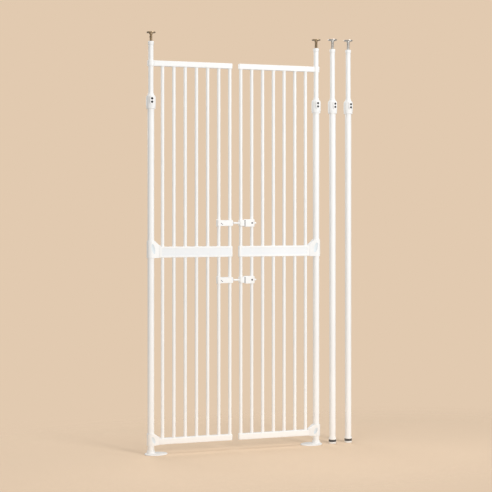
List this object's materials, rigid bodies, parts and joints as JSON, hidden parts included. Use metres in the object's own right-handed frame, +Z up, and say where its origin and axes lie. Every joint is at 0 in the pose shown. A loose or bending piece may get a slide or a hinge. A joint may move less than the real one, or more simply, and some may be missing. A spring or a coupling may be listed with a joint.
{
  "type": "pet gate",
  "caption": "Floor-to-ceiling double-door pet gate on telescoping tension posts, with barred doors, bolt latches, a deep middle rail and loose extension posts.",
  "frame": {"origin": "on the floor, under the centre of the bounding box of the whole set", "axes": "+Z up along the posts, +X from the left post to the right post and the spare posts, the front of the gate towards -Y"},
  "size_m": [1.058, 0.08, 2],
  "materials": {
    "white_paint": "satin white powder coat on steel tube",
    "white_plastic": "fine-grained moulded white plastic",
    "bright_zinc": "bright zinc plate",
    "black_screw": "blackened steel",
    "foot_tip": "white plastic tip with a black rubber band"
  },
  "bodies": {
    "root": {"left_foot_plate": "white_paint", "left_lower_tube": "white_paint", "left_clamp_sleeve": "white_plastic", "left_clamp_screw_lower": "black_screw", "left_clamp_screw_upper": "black_screw", "right_foot_plate": "white_paint", "right_lower_tube": "white_paint", "right_clamp_sleeve": "white_plastic", "right_clamp_screw_lower": "black_screw", "right_clamp_screw_upper": "black_screw", "spare_1_foot_tip": "foot_tip", "spare_1_lower_tube": "white_paint", "spare_1_clamp_sleeve": "white_plastic", "spare_2_foot_tip": "foot_tip", "spare_2_lower_tube": "white_paint", "spare_2_clamp_sleeve": "white_plastic"},
    "left_door": {"left_door_top_rail": "white_paint", "left_door_middle_rail": "white_paint", "left_door_bottom_rail": "white_paint", "left_door_middle_hinge": "white_plastic", "left_door_bottom_hinge": "white_plastic", "left_door_bar_1": "white_paint", "left_door_bar_2": "white_paint", "left_door_bar_3": "white_paint", "left_door_bar_4": "white_paint", "left_door_bar_5": "white_paint", "left_door_bar_6": "white_paint", "left_door_bar_7": "white_paint", "upper_latch_keeper": "white_plastic", "lower_latch_keeper": "white_plastic"},
    "left_extension": {"left_upper_tube": "white_paint", "left_tube_cap": "white_plastic"},
    "left_pad": {"left_ceiling_pad": "bright_zinc"},
    "left_screw": {"left_jack_screw": "bright_zinc"},
    "right_door": {"right_door_top_rail": "white_paint", "right_door_middle_rail": "white_paint", "right_door_bottom_rail": "white_paint", "right_door_middle_hinge": "white_plastic", "right_door_bottom_hinge": "white_plastic", "right_door_bar_1": "white_paint", "right_door_bar_2": "white_paint", "right_door_bar_3": "white_paint", "right_door_bar_4": "white_paint", "right_door_bar_5": "white_paint", "right_door_bar_6": "white_paint", "right_door_bar_7": "white_paint", "upper_latch_housing": "white_plastic", "lower_latch_housing": "white_plastic"},
    "right_extension": {"right_upper_tube": "white_paint", "right_tube_cap": "white_plastic"},
    "right_pad": {"right_ceiling_pad": "bright_zinc"},
    "right_screw": {"right_jack_screw": "bright_zinc"},
    "upper_bolt": {"upper_latch_bolt": "white_paint"},
    "lower_bolt": {"lower_latch_bolt": "white_paint"},
    "spare_1_extension": {"spare_1_upper_tube": "white_paint", "spare_1_tube_cap": "white_plastic"},
    "spare_1_top": {"spare_1_jack": "bright_zinc"},
    "spare_2_extension": {"spare_2_upper_tube": "white_paint", "spare_2_tube_cap": "white_plastic"},
    "spare_2_top": {"spare_2_jack": "bright_zinc"}
  },
  "joints": [
    {"name": "left_door_swing", "type": "hinge", "parent": "root", "child": "left_door", "pos_m": [-0.49895, 0, 0.074], "axis": [0, 0, 1], "range_deg": [-90, 90]},
    {"name": "right_door_swing", "type": "hinge", "parent": "root", "child": "right_door", "pos_m": [0.33555, 0, 0.074], "axis": [0, 0, 1], "range_deg": [-90, 90]},
    {"name": "upper_bolt_slide", "type": "slide", "parent": "right_door", "child": "upper_bolt", "axis": [1, 0, 0], "range_m": [-0.02, 0.03]},
    {"name": "lower_bolt_slide", "type": "slide", "parent": "right_door", "child": "lower_bolt", "axis": [1, 0, 0], "range_m": [-0.02, 0.03]},
    {"name": "left_post_extend", "type": "slide", "parent": "root", "child": "left_extension", "axis": [0, 0, 1], "range_m": [-0.07, 0.3]},
    {"name": "left_jack_lift", "type": "slide", "parent": "left_extension", "child": "left_pad", "axis": [0, 0, 1], "range_m": [-0.024, 0.024]},
    {"name": "left_screw_turn", "type": "hinge", "parent": "left_pad", "child": "left_screw", "pos_m": [-0.49895, 0, 1.96], "axis": [0, 0, 1], "range_deg": [-2890, 2890]},
    {"name": "right_post_extend", "type": "slide", "parent": "root", "child": "right_extension", "axis": [0, 0, 1], "range_m": [-0.07, 0.3]},
    {"name": "right_jack_lift", "type": "slide", "parent": "right_extension", "child": "right_pad", "axis": [0, 0, 1], "range_m": [-0.024, 0.024]},
    {"name": "right_screw_turn", "type": "hinge", "parent": "right_pad", "child": "right_screw", "pos_m": [0.33555, 0, 1.96], "axis": [0, 0, 1], "range_deg": [-2890, 2890]},
    {"name": "spare_1_extend", "type": "slide", "parent": "root", "child": "spare_1_extension", "axis": [0, 0, 1], "range_m": [-0.21, 0.3]},
    {"name": "spare_1_jack_lift", "type": "slide", "parent": "spare_1_extension", "child": "spare_1_top", "axis": [0, 0, 1], "range_m": [-0.025, 0.025]},
    {"name": "spare_2_extend", "type": "slide", "parent": "root", "child": "spare_2_extension", "axis": [0, 0, 1], "range_m": [-0.21, 0.3]},
    {"name": "spare_2_jack_lift", "type": "slide", "parent": "spare_2_extension", "child": "spare_2_top", "axis": [0, 0, 1], "range_m": [-0.025, 0.025]}
  ],
  "couplings": [
    {"joint": "left_screw_turn", "follows": "left_jack_lift", "rad_per_m": 2094.4},
    {"joint": "right_screw_turn", "follows": "right_jack_lift", "rad_per_m": 2094.4}
  ]
}
